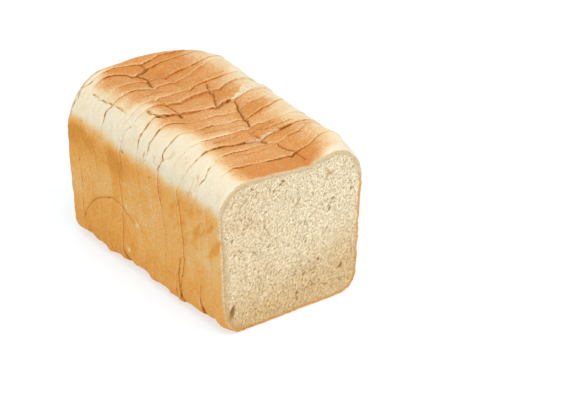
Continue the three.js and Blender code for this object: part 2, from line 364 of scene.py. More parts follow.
def loaf_relief(x, z, nx, nz, y, level):
    """The wide, low forms of the loaf, as they stand out from the plain outline."""
    middle = np.sin(np.pi * np.clip(y / LOAF_LENGTH, 0, 1))
    heel = smooth(y, LOAF_LENGTH * 0.88, LOAF_LENGTH * 0.98)
    upward = np.maximum(0, nz)
    rise = MIDDLE_RISE * middle + level + heel * (form(HEEL_CROWN, x) + form(HEEL_FALL, x))
    rise = rise + follow(RIGHT_SWELL, y) * np.maximum(0, 2 * nx) ** 1.5
    across = (form(SAG, x) + (1 + middle) * form(HUMP, x)) * (1 - heel)
    dip = SEAM_DEPTH * bell(distance_to_seams(x, y), SEAM_WIDTH)
    belly = np.maximum(0, -nx) * heel * form(HEEL_BELLY, z)
    waist = nx ** 4 * smooth(z, 15, 45) * MIDDLE_WAIST * middle
    return upward * rise + upward ** 2 * (across - dip) + belly - waist


def cut_line(number, a):
    """Where cut number lies at each distance round the crust, and how open it stands there."""
    if number < 0:
        return 0 * a, 0 * a
    if number >= len(CUTS):
        return 0 * a + LOAF_LENGTH, 0 * a
    around, along, open_at = np.array(CUTS[number]).T
    own = 40 * number
    ragged = 0.35 * lumps(a, own, 0, 5, 3) + 0.18 * lumps(a, own, 9, 1.6, 4)
    off_base = smooth(165 - abs(a), 0, 10)
    side = smooth(abs(a), 62, 80)
    dashes = (0.45 + 0.75 * side) * lumps(a, own, 30, 2.7, 5)
    openness = np.interp(a, around, open_at) * (1.1 - 0.5 * side + dashes) + 0.07 * side
    return np.interp(a, around, along) + ragged * off_base, np.clip(openness, 0, 1)


def edge_roll(openness):
    """How round a sawn edge is."""
    return 0.02 + 0.24 * openness


def edge_gap(openness):
    """Half the width of the gap at a cut."""
    return 0.004 + 0.045 * openness


def open_roll(a):
    """How round the open face's edge is: the soft top rolls back further than the firm sides and base."""
    return 0.8 + 1.0 * smooth(-abs(a), -80, -62)


def high_edge(number, a):
    middle, width = HIGH_EDGE_PLACE
    return HIGH_EDGES.get(number, 0) * bell(a - middle, width)


def rings_of(number, shape):
    """The rings of a slice: how far each point is from the open face and from the cuts at both ends,
    how far it is drawn in, and how open those cuts are."""
    x, _, _, _, a = shape
    near, near_open = cut_line(number - 1, a)
    far, far_open = cut_line(number, a)
    if number == 0:
        near_roll = open_roll(a)
    else:
        near_roll = edge_roll(near_open) + high_edge(number, a)
        near = near + edge_gap(near_open)
    if number == len(CUTS):
        far_roll = 0 * a + HEEL_ROUND
        far = far - HEEL_BOW * (x / (TOP_WIDTH / 2)) ** 2 - HEEL_BULGE
    else:
        far_roll = edge_roll(far_open)
        far = far - edge_gap(far_open)
    turns = np.linspace(0, math.pi / 2, EDGE_RINGS)
    y = [near + near_roll * (1 - math.cos(turn)) for turn in turns]
    inset = [near_roll * (1 - math.sin(turn)) for turn in turns]
    between = max(LEAST_RINGS, round(float(np.median(far - near)) / RING_STEP))
    start, end = near + near_roll, far - far_roll
    for t in np.arange(1, between) / between:
        y.append(start + (end - start) * t)
        inset.append(0 * a)
    for turn in turns[::-1]:
        y.append(far - far_roll * (1 - math.cos(turn)))
        inset.append(far_roll * (1 - math.sin(turn)))
    y = np.array(y)
    return Rings(y, np.array(inset), y - near, far - y, near_open, far_open)


def close_end():
    bpy.ops.mesh.edge_face_add()
    for width in END_INSETS:
        bpy.ops.mesh.inset(thickness=width)
    bpy.ops.mesh.poke()


def tube(name, rings, close_near, close_far):
    """A straight round blank: a circle extruded along the loaf, with its closed ends inset."""
    bpy.ops.object.select_all(action="DESELECT")
    bpy.ops.mesh.primitive_circle_add(vertices=POINTS_ROUND, radius=BLANK_RADIUS,
                                      rotation=(math.pi / 2, 0, 0))
    piece = bpy.context.object
    piece.name = piece.data.name = name
    bpy.ops.object.transform_apply(location=False, rotation=True, scale=False)
    bpy.ops.object.mode_set(mode="EDIT")
    bpy.ops.mesh.select_all(action="SELECT")
    for _ in range(rings - 1):
        bpy.ops.mesh.extrude_edges_move(TRANSFORM_OT_translate={"value": (0, BLANK_STEP, 0)})
    if close_far:
        close_end()
    if close_near:
        bpy.ops.mesh.select_all(action="DESELECT")
        edit = bmesh.from_edit_mesh(piece.data)
        for vertex in edit.verts:
            vertex.select = abs(vertex.co.y) < BLANK_STEP / 2
        edit.select_flush(True)
        close_end()
    bpy.ops.object.mode_set(mode="OBJECT")
    return piece


def coordinates(piece):
    flat = np.empty(len(piece.data.vertices) * 3)
    piece.data.vertices.foreach_get("co", flat)
    return flat.reshape(-1, 3)


def move_points(piece, places):
    """Puts a piece's points where they belong. The places are in millimetres."""
    piece.data.vertices.foreach_set("co", (places * MM).ravel())


def write_marks(piece, marks):
    for name, values in marks.items():
        layer = piece.data.attributes.get(name) or piece.data.attributes.new(name, "FLOAT", "POINT")
        layer.data.foreach_set("value", np.ascontiguousarray(values, dtype=np.float32))


def browned_top(a, y, edge, painted_cut_light_shade, number):
    """How brown the oven made the free top, with painted shade and highlight by the cuts added in. edge is
    the painted shade of the nearest open cut; the next argument is the painted highlight along a slice's
    front edge (below 0) and the painted shade by its far cut (above 0)."""
    drift = 3 * lumps(a, y, 0, 11, 11) + 1.8 * lumps(a, y, 0, 4, 12)
    reach = smooth(a - follow(BROWN_LEFT, y) + drift, -11, 9)
    reach = reach * smooth(follow(BROWN_RIGHT, y) - a + drift, -20, 9)
    tone = 0.74 + 0.14 * lumps(a / 4, y, 3, 5, 13)
    own_tone = 0.13 * lumps(number * 7, a / 30, 0, 1, 14)
    front_tone = 0.2 * bell(y, 34)
    back_tone = 0.14 * smooth(y, 118, 140)
    right_tone = 0.1 * smooth(a, 5, 25) * smooth(y, 110, 60)
    streak = 0.3 * bell(distance_to(CREAM_STREAK, a, y), 3.5)
    # The painted shade of the open cuts and the painted highlight and shade by the slices' edges shift the
    # brown.
    tone = tone + own_tone + front_tone + back_tone + right_tone + 0.2 * edge + painted_cut_light_shade - streak
    mottling = 0.09 * np.maximum(0, lumps(a, y, 13, 6, 66)) * bell(abs(a) - 55, 14)
    heel_rim = smooth(y + 1.5 * lumps(a, y, 8, 4, 24), 166, 170) * smooth(74 - abs(a + 6), 0, 28)
    heel_rim = heel_rim * (0.6 + 0.4 * lumps(a, y, 9, 2.5, 25))
    return np.clip(np.maximum(reach * tone + mottling, heel_rim), 0, 1)


def tinned_gold(a, y, painted_cut_light_shade):
    """How golden the tin baked the sides and the base. A darker band follows the pale shoulders. The tin's
    dimples are painted darker as shade, and the cuts bring their painted highlight and shade.
    """
    reach = abs(a)
    under = reach - (66 + 2.5 * lumps(a, y, 7, 14, 15) + 1.5 * lumps(a, y, 7, 5, 16))
    band = (0.36 + 0.4 * lumps(a / 1.6, y, 5, 8, 17)) * bell(under - 9, 9)
    band = band * (0.4 + 0.6 * smooth(y, 85, 108))
    heel_band = 0.4 * bell(y - 165, 10) * bell(under - 10, 15)
    middle_band = 0.35 * bell(y - 114, 8) * bell(under - 20, 16)
    # Painted shade in the tin's dimples: the gold is darker where they sink in.
    dimple_shade = 0.36 * smooth(tin_ripples(a, y), -0.1, 0.6)
    low = 0.2 * smooth(reach, 104, 150) + 0.25 * smooth(reach, 149, 158)
    fold = 0.12 * folded(a, y, -0.05, 0.12)
    patches = 0.1 * lumps(a, y, 2, 9, 18) + 0.05 * lumps(a / 1.5, y, 6, 3.5, 29)
    # Half of the painted highlight and shade by the cuts goes into the gold as well.
    gold = 0.46 - 0.08 * smooth(y, 48, 12) + 0.5 * painted_cut_light_shade
    gold = gold + band + heel_band + middle_band + dimple_shade + low + fold + patches
    blisters = np.max([bell(away_from(blister, a, y), 0.8) for blister in BLISTERS], 0)
    return np.clip(smooth(under, -8, 8) * gold * (1 - 0.85 * blisters), 0, 1)


def dark_lines(a, y, edge):
    """How dark the painted shade is in the cracks, the fine wrinkles of the pale shoulders and the open
    cuts.
    """
    dark = 0 * a * y
    uneven = 0.9 + 0.25 * lumps(a, y, 1, 2.2, 19)
    wavy_a, wavy_y = wavy(a, y)
    for (width, _, darkness), line in CRACKS:
        dark = np.maximum(dark, darkness * uneven * bell(distance_to(line, wavy_a, wavy_y), width))
    # The fine wrinkles on the pale shoulders are drawn as painted shade only.
    wrinkles = bell(lumps(a / 1.6, y, 70, 4.5, 67), 0.07) * smooth(lumps(a, y, 71, 8, 68), -0.1, 0.5)
    dark = np.maximum(dark, 0.46 * wrinkles * bell(abs(a) - 60, 20))
    return np.clip(np.maximum(dark, edge), 0, 1)


def crust_relief(a, y, x, z):
    """The fine relief of the crust: cracks, wrinkles, dimples and small bumps."""
    side = smooth(abs(a), 62, 80)
    top = smooth(60 - abs(a), 0, 12)
    out = layered(CRUST_LAYERS, x, y, z) * (0.75 + 0.5 * side)
    out = out + 0.35 * side * lumps(a / 6, y, 0, 5, 27) - 0.7 * np.maximum(0, tin_ripples(a, y))
    base_bumps = 1.1 * lumps(a / 4, y, 3, 8, 28) + 0.6 * lumps(a / 3, y, 4, 3.5, 36)
    out = out + base_bumps * smooth(abs(a), 138, 154) + 0.5 * folded(a, y, -0.02, 0.08)
    torn_skin = layered(PATCH_LAYERS, x, y, z)
    for patch in ROUGH_PATCHES + BLISTERS:
        out = out + bell(away_from(patch, a, y), 1) * torn_skin
    out = out + 0.26 * lumps(a / 3, y, 5, 1.7, 65) * bell(abs(a) - 56, 16)
    out = out - SEAM_GROOVE * top * np.exp(-distance_to_seams(a, y) / 1.2)
    wavy_a, wavy_y = wavy(a, y)
    for (width, depth, _), line in CRACKS:
        out = out - depth * bell(distance_to(line, wavy_a, wavy_y), width * 0.8)
    return out


def torn_off(number, a, from_near):
    """Where the cut tore the crust off a slice's front edge, from 0 to 1."""
    torn = 0 * from_near
    for torn_number, widths in TORN_EDGES:
        if torn_number == number:
            width = follow(widths, a) * (1 + 0.35 * lumps(a, 0, 0, 1.8, 39))
            torn = np.maximum(torn, 1 - smooth(from_near - width, -0.35, 0.35)) * (width > 0.05)
    return torn


def level_of(number, a, t):
    """How far a slice stands above the loaf's even surface, from its near cut (t is 0) to its far one."""
    uneven = lumps(a, 50 * number, 0, 15, 33) + t * lumps(a, 50 * number, 20, 13, 34)
    far_lip = LIPS[number + 1] if number < len(CUTS) else 0
    steps = 0.55 * LIPS[number] * (1 - t) ** 2 - 0.45 * far_lip * t ** 2
    return LIFT_SHARE * SLICES[number][0] + (0.5 * uneven + steps) * smooth(66 - abs(a), 0, 14)


def sunk_at_ends(number, shape, t, rings, torn):
    """How far the crust sinks towards the cuts: at the lower corners, which gives the scalloped lower
    edge, and where it is torn off."""
    x, z, _, _, a = shape
    scallop = (0.9 + 0.6 * lumps(number * 5, 0, 0, 1, 35)) * (1 - np.sin(np.pi * t))
    sunk = scallop * smooth(abs(a), 136, 152) + torn * (0.1 + 0.25 * lumps(x, rings.y, z, 1.5, 40))
    if number == 0:
        nicks = np.maximum(0, 0.7 * lumps(a, 0, 0, 1.9, 48)) * bell(rings.y, 1.2)
        sunk = sunk + nicks * smooth(abs(a), 60, 75)
    return sunk


def slice_marks(number, a, rings, torn):
    """What the oven and the saw did to each place on a slice's crust, with painted shade in the cuts and
    cracks and a painted highlight along each slice's front edge.
    """
    near_is_nearer = rings.from_near < rings.from_far
    depth = np.minimum(rings.from_near, rings.from_far)
    openness = np.where(near_is_nearer, rings.near_open, rings.far_open)
    # Painted shade in the open cuts: darkest at the crust's edge, broken into dashes, fading away from it.
    dotted = (0.85 + 0.6 * lumps(a, 70 * number, 50, 1.4, 62)) * np.where(near_is_nearer, 0.85, 1.1)
    edge = openness * dotted * np.exp(-depth / (0.18 + 0.3 * openness))
    high = high_edge(number, a)
    # A painted highlight along a slice's front edge, stronger and wider on a high edge, and painted shade
    # by its far cut.
    lit_edge = -(0.4 + 0.25 * high) * bell(rings.from_near - 0.9 - high, 0.6 + 0.8 * high)
    painted_cut_light_shade = np.where(near_is_nearer, lit_edge, 0.28 * np.exp(-rings.from_far / 2.2))
    painted_cut_light_shade = painted_cut_light_shade * (0.4 + 0.6 * openness)
    bake = browned_top(a, rings.y, edge, painted_cut_light_shade, number) * (1 - 0.7 * torn)
    dark = dark_lines(a, rings.y, edge) * (1 - torn)
    crumb, dense_and_shaded = 0.5 * torn, 0 * torn
    if number == 0:
        bare = open_roll(a) * (0.45 + 0.15 * lumps(a, 0, 0, 2.5, 31)) + 0.35 * lumps(a, 0, 5, 7, 32)
        bare = np.maximum(bare, 0.1) * (1 - 0.9 * smooth(a, 62, 80)) * (1 - 0.9 * smooth(abs(a), 140, 155))
        crumb = 1 - smooth(rings.y - bare, -0.3, 0.3)
        dark = dark * (rings.y > 3)
        # The crumb on the open face's rolled edge is closer, and painted darker there, partly as shade,
        # most on top.
        dense_and_shaded = dense_and_shaded + 0.25 + 0.6 * smooth(-abs(a), -75, -55)
    return {"bake": bake, "gold": tinned_gold(a, rings.y, painted_cut_light_shade), "dark": dark, "crumb": crumb,
            "pore": 0 * torn, "dense_and_shaded": dense_and_shaded}


def shape_slice(name, number, open_near=False, open_far=False):
    """One slice of the loaf, from its near cut to its far one. An open end is left for a grid."""
    shape = outline(number)
    x, z, nx, nz, a = shape
    rings = rings_of(number, shape)
    t = np.clip(rings.from_near / (rings.from_near + rings.from_far), 0, 1)
    torn = torn_off(number, a, rings.from_near)
    soft_near = np.exp(-rings.from_near / 1.1) * (0.15 + 1.2 * rings.near_open)
    soft_far = np.exp(-rings.from_far / 1.1) * (0.15 + 1.2 * rings.far_open)
    fine = crust_relief(a, rings.y, x, z) - 0.3 * (soft_near + soft_far)
    flat_base = smooth(-nz, 0.7, 1)
    out = loaf_relief(x, z, nx, nz, rings.y, level_of(number, a, t)) - rings.inset
    out = out - sunk_at_ends(number, shape, t, rings, torn) + fine * (1 - 0.9 * flat_base)
    sideways = SHIFT_SHARE * SLICES[number][1] * smooth(z, 0, 40)
    crust = np.array([x + nx * out + sideways, rings.y, np.maximum(0, z + nz * out)])

    piece = tube(name, len(rings.y), not open_near, not open_far)
    blank = coordinates(piece)
    ring = np.rint(blank[:, 1] / BLANK_STEP).astype(int)
    radius = np.hypot(blank[:, 0], blank[:, 2]) / BLANK_RADIUS
    turn = np.arctan2(blank[:, 0], -blank[:, 2]) / (2 * math.pi)
    spoke = np.rint(turn * POINTS_ROUND).astype(int) % POINTS_ROUND
    end_y = np.where(ring == 0, np.mean(rings.y[0]), np.mean(rings.y[-1]))
    middle = np.array([0 * end_y, end_y, 0 * end_y + LOAF_HEIGHT / 2])
    places = middle + (crust[:, ring, spoke] - middle) * np.where(radius > 0.999, 1, radius)
    places[1] += FRONT
    move_points(piece, places.T)
    marks = {mark: values[ring, spoke] for mark, values in slice_marks(number, a, rings, torn).items()}
    marks["crumb"] = np.where(radius < 0.97, 1, marks["crumb"])
    write_marks(piece, marks)
    return piece


def finish_piece(piece, node, material):
    bpy.ops.object.select_all(action="DESELECT")
    piece.select_set(True)
    bpy.context.view_layer.objects.active = piece
    bpy.ops.object.mode_set(mode="EDIT")
    bpy.ops.mesh.select_all(action="SELECT")
    bpy.ops.mesh.normals_make_consistent(inside=False)
    bpy.ops.object.mode_set(mode="OBJECT")
    bpy.ops.object.shade_smooth()
    piece.data.materials.clear()
    piece.data.materials.append(material)
    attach(piece, "root")
    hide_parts(node)


def colour(red, green, blue):
    """A colour as painters' screens give it, 0 to 255, turned into light."""
    def light(value):
        share = value / 255
        return share / 12.92 if share <= 0.04045 else ((share + 0.055) / 1.055) ** 2.4
    return (light(red), light(green), light(blue), 1)


# How the crust's colour goes from pale to browned on top, and from pale to golden at the sides.
PALE = colour(227, 215, 187)
PALE_TO_BROWN = [(0, PALE), (0.25, colour(222, 193, 144)), (0.5, colour(214, 167, 115)),
                 (0.75, colour(209, 148, 81)), (1, colour(194, 122, 48))]
PALE_TO_GOLD = [(0, PALE), (0.25, colour(225, 186, 124)), (0.45, colour(223, 166, 87)),
                (0.7, colour(225, 154, 61)), (1, colour(202, 133, 44))]

# Painted shade in the cracks, wrinkles and cuts: the line colour, its darkest middle, and the painted
# shade on the crust beside it.
CREVICE_SHADE = colour(150, 102, 40)
DEEP_SHADE = colour(78, 48, 16)
SHADE_BESIDE_LINES = colour(230, 186, 124)
FLECK = colour(238, 194, 124)

# The crumb. Its paler tone is partly painted highlight on the cell walls, the pores are darkened with
# painted shade, the closer crumb by the rim is painted darker partly as shade, and a warm painted shade
# lies towards the open face's base.
CELL_SIZE = 0.85
CRUMB_PALE_AND_HIGHLIGHT = colour(253, 241, 212)
CRUMB = colour(241, 222, 184)
CRUMB_DENSE_SHADED = colour(192, 166, 124)
PORE_SHADE = colour(170, 136, 88)
WARM_SHADE = colour(234, 214, 184)


def group_with(name, inputs, outputs):
    group = bpy.data.node_groups.new(name, "ShaderNodeTree")
    for label, kind in inputs:
        group.interface.new_socket(label, in_out="INPUT", socket_type=kind)
    for label, kind in outputs:
        group.interface.new_socket(label, in_out="OUTPUT", socket_type=kind)
    return group, group.nodes.new("NodeGroupInput"), group.nodes.new("NodeGroupOutput")


def connect(tree, value, socket):
    """Links a socket's output to another socket, or sets a plain value on it."""
    if isinstance(value, bpy.types.NodeSocket):
        tree.links.new(value, socket)
    else:
        socket.default_value = value


def add_node(tree, kind, inputs=None, **settings):
    node = tree.nodes.new(kind)
    for name, value in settings.items():
        setattr(node, name, value)
    for name, value in (inputs or {}).items():
        connect(tree, value, node.inputs[name])
    return node


def ramp(tree, value, stops):
    node = add_node(tree, "ShaderNodeValToRGB", {"Fac": value})
    elements = node.color_ramp.elements
    while len(elements) < len(stops):
        elements.new(0.5)
    for element, (position, shade) in zip(elements, stops):
        element.position = position
        element.color = shade
    return node.outputs["Color"]


def maths(tree, operation, first, second, clamp=False):
    node = add_node(tree, "ShaderNodeMath", {0: first, 1: second}, operation=operation, use_clamp=clamp)
    return node.outputs[0]


def times(tree, first, second):
    return maths(tree, "MULTIPLY", first, second)


def blend_colours(tree, share, first, second, blend_type="MIX"):
    node = add_node(tree, "ShaderNodeMix", data_type="RGBA", blend_type=blend_type)
    for number, value in ((0, share), (6, first), (7, second)):
        connect(tree, value, node.inputs[number])
    return node.outputs[2]


def noise(tree, place, size, detail=3, roughness=0.6):
    """A noise of lumps of a size in millimetres."""
    node = add_node(tree, "ShaderNodeTexNoise",
                    {"Vector": place, "Scale": 1 / (size * MM), "Detail": detail, "Roughness": roughness})
    return node.outputs["Fac"]


def spread(tree, value, low, high, to_low=0, to_high=1):
    node = add_node(tree, "ShaderNodeMapRange", {"Value": value, "From Min": low, "From Max": high,
                                                 "To Min": to_low, "To Max": to_high})
    return node.outputs["Result"]


def hand_out(group, made, **outputs):
    for name, value in outputs.items():
        group.links.new(value, made.inputs[name])


def crust_finish():
    """The crust's finish: flour-pale where the tin's rim kept the heat off, brown on the free top, golden
    against the tin. Mottled, with light flecks by the cuts, slightly leathery and matt. Painted shade
    darkens the cracks, wrinkles and cuts and the crust beside them."""
    group, given, made = group_with(
        "crust_finish",
        [("Place", "NodeSocketVector"), ("Bake", "NodeSocketFloat"), ("Gold", "NodeSocketFloat"),
         ("Dark", "NodeSocketFloat")],
        [("Color", "NodeSocketColor"), ("Roughness", "NodeSocketFloat"), ("Height", "NodeSocketFloat")])
    place, baked, golden, dark = (given.outputs[name] for name in ("Place", "Bake", "Gold", "Dark"))

    mottle = spread(group, noise(group, place, 5, 4), 0.3, 0.7, -0.5, 0.5)
    speckle = spread(group, noise(group, place, 2, 2), 0.3, 0.7, -0.5, 0.5)
    grain = spread(group, noise(group, place, 0.9, 1), 0.3, 0.7, -0.5, 0.5)
    shade = maths(group, "ADD", times(group, mottle, 0.14), times(group, speckle, 0.26))
    shade = maths(group, "ADD", shade, times(group, grain, 0.68))
    on_top = spread(group, baked, 0, 0.4)
    on_side = spread(group, golden, 0.08, 0.45)
    coloured = maths(group, "MAXIMUM", on_top, spread(group, golden, 0, 0.3))
    shade = times(group, shade, spread(group, coloured, 0, 1, 0.4, 1))

    bake = maths(group, "ADD", baked, times(group, shade, on_top), True)
    gold = maths(group, "ADD", golden, times(group, shade, on_side), True)
    least_gold = spread(group, golden, 0.2, 0.42, 0, 0.2)
    top = ramp(group, bake, PALE_TO_BROWN)
    side = ramp(group, maths(group, "MAXIMUM", gold, least_gold), PALE_TO_GOLD)
    crust = blend_colours(group, maths(group, "MULTIPLY", golden, 30, True), top, side)
    lighter = spread(group, shade, -0.35, 0.35, 0.88, 1.08)
    crust = blend_colours(group, 1, crust, lighter, "MULTIPLY")

    near_line = spread(group, dark, 0.05, 0.3, 0, 0.5)
    fleck = maths(group, "ADD", noise(group, place, 0.8, 1), times(group, near_line, 0.14))
    fleck = spread(group, fleck, 0.69, 0.77, 0, 0.5)
    crust = blend_colours(group, times(group, fleck, coloured), crust, FLECK)
    # Painted shade along the dark lines: a soft darkening beside them, then the line, then its deepest
    # middle.
    shaded_beside_lines = blend_colours(group, 1, crust, SHADE_BESIDE_LINES, "MULTIPLY")
    crust = blend_colours(group, spread(group, dark, 0.1, 0.6), crust, shaded_beside_lines)
    ragged = maths(group, "ADD", dark, times(group, grain, 0.3))
    crust = blend_colours(group, spread(group, ragged, 0.42, 0.66, 0, 0.9), crust, CREVICE_SHADE)
    crust = blend_colours(group, spread(group, dark, 0.8, 1, 0, 0.85), crust, DEEP_SHADE)

    height = maths(group, "ADD", times(group, noise(group, place, 2.2, 3), 0.6),
                   times(group, noise(group, place, 0.7, 2), 0.4))
    hand_out(group, made, Color=crust, Roughness=spread(group, bake, 0, 1, 0.8, 0.58), Height=height)
    return group


def crumb_finish():
    """The crumb's finish: cream cell walls, partly painted highlight, round small pores darkened with
    painted shade, that rise slanting; closer and smoother near the crust, and painted darker there, partly
    as shade. The gold mark adds a warm painted shade."""
    group, given, made = group_with(
        "crumb_finish",
        [("Place", "NodeSocketVector"), ("Pore", "NodeSocketFloat"), ("Dense_and_shaded", "NodeSocketFloat"),
         ("Gold", "NodeSocketFloat")],
        [("Color", "NodeSocketColor"), ("Roughness", "NodeSocketFloat"), ("Height", "NodeSocketFloat")])
    pore, dense_and_shaded, warm_shading = (given.outputs[name] for name in ("Pore", "Dense_and_shaded", "Gold"))
    drawn_up = add_node(group, "ShaderNodeMapping",
                        {"Vector": given.outputs["Place"], "Rotation": (0, math.radians(40), 0),
                         "Scale": (1, 1, 2.2)}, vector_type="TEXTURE")
    place = drawn_up.outputs["Vector"]

    cells = add_node(group, "ShaderNodeTexVoronoi", {"Vector": place, "Scale": 1 / (CELL_SIZE * MM)})
    grain = noise(group, place, 0.66, 2, 0.6)
    hollow = maths(group, "ADD", spread(group, grain, 0.5, 0.68, 0, 0.75),
                   spread(group, cells.outputs["Distance"], 0.45, 0.8, 0, 0.45), True)
    hollow = maths(group, "MAXIMUM", hollow, pore)
    hollow = times(group, hollow, spread(group, dense_and_shaded, 0, 1, 1, 0.45))

    # Pale cell walls, partly painted highlight, mixed at random into the crumb's cream.
    crumb = blend_colours(group, spread(group, noise(group, place, 1.2, 3), 0.38, 0.6), CRUMB_PALE_AND_HIGHLIGHT, CRUMB)
    # The closer crumb by the rim: fewer pores, and a darker colour that is partly painted shade.
    crumb = blend_colours(group, times(group, dense_and_shaded, 0.85), crumb, CRUMB_DENSE_SHADED)
    # Painted shade in the pores.
    crumb = blend_colours(group, hollow, crumb, PORE_SHADE)
    # A warm painted shade where the gold mark is high, towards the open face's base.
    crumb = blend_colours(group, warm_shading, crumb, blend_colours(group, 1, crumb, WARM_SHADE, "MULTIPLY"))
    height = maths(group, "SUBTRACT", times(group, grain, 0.3), hollow)
    hand_out(group, made, Color=crumb, Roughness=spread(group, hollow, 0, 1, 0.85, 0.95), Height=height)
    return group


def bread_material(name):
    """Crust and crumb in one, told apart by the mark for crumb."""
    material = bpy.data.materials.new(name)
    material.use_nodes = True
    tree = material.node_tree
    shader = tree.nodes["Principled BSDF"]
    place = add_node(tree, "ShaderNodeTexCoord").outputs["Object"]
    marks = {}
    for mark in MARKS:
        marks[mark] = add_node(tree, "ShaderNodeAttribute", attribute_name=mark).outputs["Fac"]
    crust = add_node(tree, "ShaderNodeGroup", node_tree=CRUST_FINISH)
    crumb = add_node(tree, "ShaderNodeGroup", node_tree=CRUMB_FINISH)
    for node, wanted in ((crust, ("bake", "gold", "dark")), (crumb, ("pore", "dense_and_shaded", "gold"))):
        tree.links.new(place, node.inputs["Place"])
        for mark in wanted:
            tree.links.new(marks[mark], node.inputs[mark.capitalize()])

    def crust_or_crumb(of_crust, of_crumb):
        return add_node(tree, "ShaderNodeMix", {0: marks["crumb"], 2: of_crust, 3: of_crumb}).outputs[0]

    shade = blend_colours(tree, marks["crumb"], crust.outputs["Color"], crumb.outputs["Color"])
    roughness = crust_or_crumb(crust.outputs["Roughness"], crumb.outputs["Roughness"])
    height = crust_or_crumb(crust.outputs["Height"], times(tree, crumb.outputs["Height"], 2.5))
    bump = add_node(tree, "ShaderNodeBump", {"Height": height, "Strength": 0.6, "Distance": 0.35 * MM})
    tree.links.new(shade, shader.inputs["Base Color"])
    tree.links.new(roughness, shader.inputs["Roughness"])
    tree.links.new(bump.outputs["Normal"], shader.inputs["Normal"])
    shader.inputs["Specular IOR Level"].default_value = 0.3
    return material


CRUST_FINISH = crust_finish()
CRUMB_FINISH = crumb_finish()
sliced_bread = bread_material("sliced_bread")

for number in range(1, len(CUTS)):
    node = f"slice_{number + 1:02d}"
    finish_piece(shape_slice(f"bread_{node}", number), node, sliced_bread)


# ---------------------------------------------------------------------------------------------------
# The first slice, whose near face is the open one. The face is soft crumb with small pores, a long
# pit low on its left, a short crack and a dent in its middle, and a thin rim of crust all round.

# Single large pores: where they lie on the face (x, z), how wide and tall they are, how far they lean,
# and how deep they go.
FACE_PORES = [
    ((-46.2, 17), (1.5, 4.6), 0.25, 2.6), ((-5.8, 101), (1.4, 0.8), 0.5, 1.3),
    ((-8, 99.3), (1, 0.8), 0, 1.0), ((-30.5, 103.5), (1.4, 0.6), 0.3, 1.0),
    ((48.6, 76.6), (0.8, 1.1), 0.4, 1.2), ((33.8, 74.7), (0.8, 1.4), 0.6, 1.1),
    ((30.8, 67.6), (0.8, 1.6), 0.5, 1.1), ((-12.9, 96.4), (0.8, 1.2), 0.4, 0.9),
    ((-37, 76.5), (0.8, 0.8), 0, 0.9), ((-10.4, 59.4), (3, 2.6), 0, 0.3),
    ((12, 50), (0.9, 1.5), 0.5, 0.9), ((22, 33), (1, 1.3), -0.4, 1.0),
    ((-25, 36), (0.9, 0.9), 0, 0.8), ((40, 22), (1.1, 1.8), 0.5, 1.2),
    ((5, 14), (1.2, 0.9), 0.2, 0.9),
]
FACE_CRACK = [(-21.2, 77.5), (-20.6, 71.5), (-18.6, 69), (-16.8, 65)]
FACE_CRACK_DEPTH = 0.55
FACE_CRACK_WIDTH = 0.55
PORES_LEAN = math.radians(38)


def fill_end(piece):
    """A grid over an open end, from one lower corner to the other. Gives the numbers of the grid's
    points, and of those on the rim that it fills."""
    count = len(piece.data.vertices)
    bpy.ops.object.select_all(action="DESELECT")
    piece.select_set(True)
    bpy.context.view_layer.objects.active = piece
    bpy.ops.object.mode_set(mode="EDIT")
    bpy.ops.mesh.select_mode(type="VERT")
    bpy.ops.mesh.select_all(action="DESELECT")
    edit = bmesh.from_edit_mesh(piece.data)
    edit.verts.ensure_lookup_table()
    rim = [edge for edge in edit.edges if edge.is_boundary]
    for edge in rim:
        edge.select = True
    ends = {vertex for edge in rim for vertex in edge.verts}
    rim_points = sorted(vertex.index for vertex in ends)
    corner = max(ends, key=lambda vertex: vertex.co.x - vertex.co.z)
    edit.select_history.clear()
    edit.select_history.add(corner)
    edit.select_flush_mode()
    bmesh.update_edit_mesh(piece.data)
    span = FACETS["corner"] + 2 * FACETS["base"]
    bpy.ops.mesh.fill_grid(span=span, offset=0)
    bpy.ops.object.mode_set(mode="OBJECT")
    return np.arange(count, len(piece.data.vertices)), np.array(rim_points)


def nearest_on_rim(x, z, rim_x, rim_z):
    """How far places on an end face are from its rim, and which point of the rim is the nearest."""
    at_once = 4000
    distance, nearest = np.empty(len(x)), np.empty(len(x), int)
    for start in range(0, len(x), at_once):
        some = slice(start, start + at_once)
        gaps = np.hypot(x[some, None] - rim_x, z[some, None] - rim_z)
        distance[some], nearest[some] = gaps.min(1), gaps.argmin(1)
    return distance, nearest


def read_marks(piece):
    marks = {}
    for name in MARKS:
        values = np.empty(len(piece.data.vertices), np.float32)
        piece.data.attributes[name].data.foreach_get("value", values)
        marks[name] = values.astype(float)
    return marks


